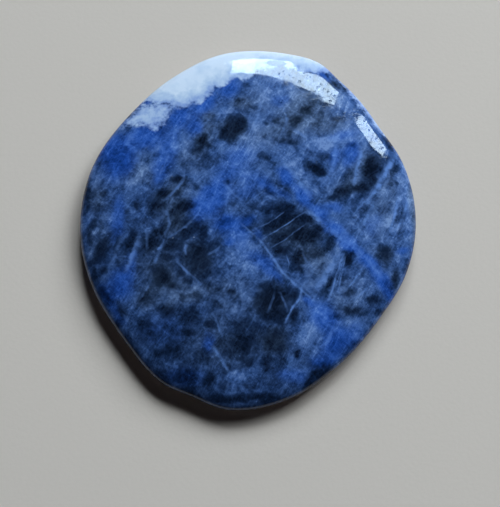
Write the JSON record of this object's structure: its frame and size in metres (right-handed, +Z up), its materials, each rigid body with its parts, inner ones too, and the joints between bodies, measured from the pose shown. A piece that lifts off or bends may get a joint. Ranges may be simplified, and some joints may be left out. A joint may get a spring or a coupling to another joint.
{
  "type": "sodalite palm stone",
  "caption": "Flat polished palm stone of blue sodalite: a thin rounded pebble with a gently domed face, a rounded edge and a small flat spot underneath.",
  "frame": {"origin": "the middle of the stone's box at its foot, on the flat spot that it rests on", "axes": "+Z up through the stone's thickness, +Y along its longer way, towards the top of the picture, +X across it to the right"},
  "size_m": [0.0512, 0.0576, 0.0052],
  "materials": {
    "polished_sodalite": "hand-polished"
  },
  "bodies": {
    "root": {"palm_stone": "polished_sodalite"}
  },
  "joints": []
}
